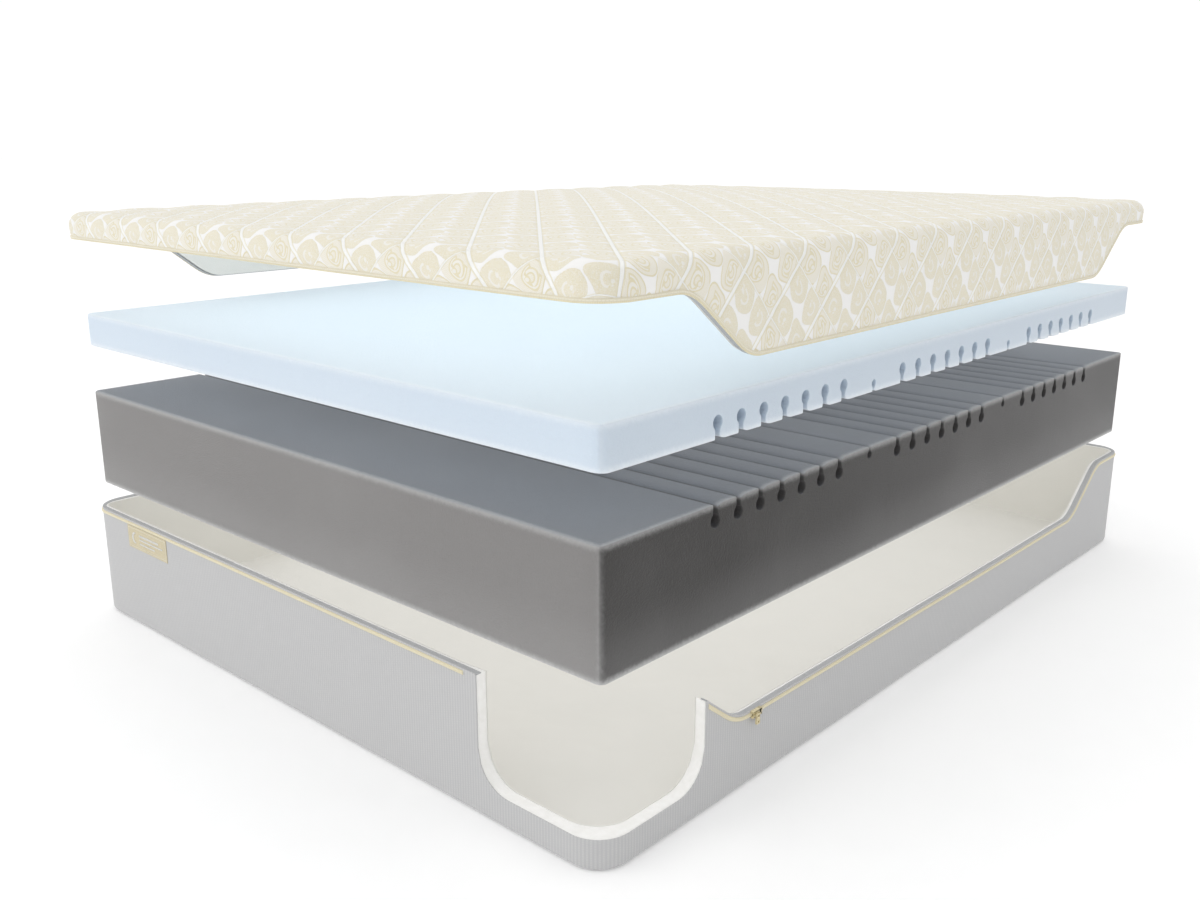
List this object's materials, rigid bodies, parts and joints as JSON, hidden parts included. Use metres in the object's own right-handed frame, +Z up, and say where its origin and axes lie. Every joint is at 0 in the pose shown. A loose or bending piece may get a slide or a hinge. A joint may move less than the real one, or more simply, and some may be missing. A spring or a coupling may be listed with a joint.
{
  "type": "memory foam mattress",
  "caption": "Memory foam mattress shown as separated layers: open zipped bottom cover, zoned core foam, comfort foam and quilted top cover; the layers slide down to close it.",
  "frame": {"origin": "middle of the underside of the bottom cover, on the surface it rests on", "axes": "+X across the width towards the side with the zip slider, +Y along the length away from the label end, +Z up"},
  "size_m": [1.5555, 2.046, 0.9089],
  "materials": {
    "base_cloth": "matte",
    "grey_knit": "matte",
    "wadding": "matte",
    "lining": "matte",
    "zip_tape": "matte",
    "zip_chain": "satin",
    "label_weave": "satin",
    "label_thread": "satin",
    "slider_lacquer": "satin",
    "core_foam": "matte",
    "comfort_foam": "matte",
    "jacquard": "satin",
    "binding": "satin"
  },
  "bodies": {
    "bottom_cover": {"base_panel": "base_cloth", "border_fabric": "grey_knit", "border_wadding": "wadding", "base_wadding": "wadding", "bottom_lining": "lining", "lower_zip_tape": "zip_tape", "lower_zip_chain": "zip_chain", "side_label": "label_weave", "label_emblem": "label_thread"},
    "zip_slider": {"slider_body": "slider_lacquer", "slider_bail": "slider_lacquer"},
    "zip_pull": {"pull_tab": "slider_lacquer"},
    "core": {"core_foam": "core_foam"},
    "comfort": {"comfort_foam": "comfort_foam"},
    "top_cover": {"top_fabric": "jacquard", "top_panel_wadding": "wadding", "top_border_wadding": "wadding", "top_lining": "lining", "upper_zip_tape": "zip_tape", "top_binding": "binding", "upper_zip_chain": "zip_chain"}
  },
  "joints": [
    {"name": "core_into_cover", "type": "slide", "parent": "bottom_cover", "child": "core", "axis": [0, 0, 1], "range_m": [-0.2815, 0]},
    {"name": "comfort_onto_core", "type": "slide", "parent": "core", "child": "comfort", "axis": [0, 0, 1], "range_m": [-0.1005, 0]},
    {"name": "top_cover_onto_foam", "type": "slide", "parent": "comfort", "child": "top_cover", "axis": [0, 0, 1], "range_m": [-0.205, 0]},
    {"name": "zip_run", "type": "slide", "parent": "bottom_cover", "child": "zip_slider", "axis": [0, 1, 0], "range_m": [0, 1.29]},
    {"name": "pull_swing", "type": "hinge", "parent": "zip_slider", "child": "zip_pull", "pos_m": [0.7803, -0.646, 0.127], "axis": [0, -1, 0], "range_deg": [0, 150]}
  ]
}
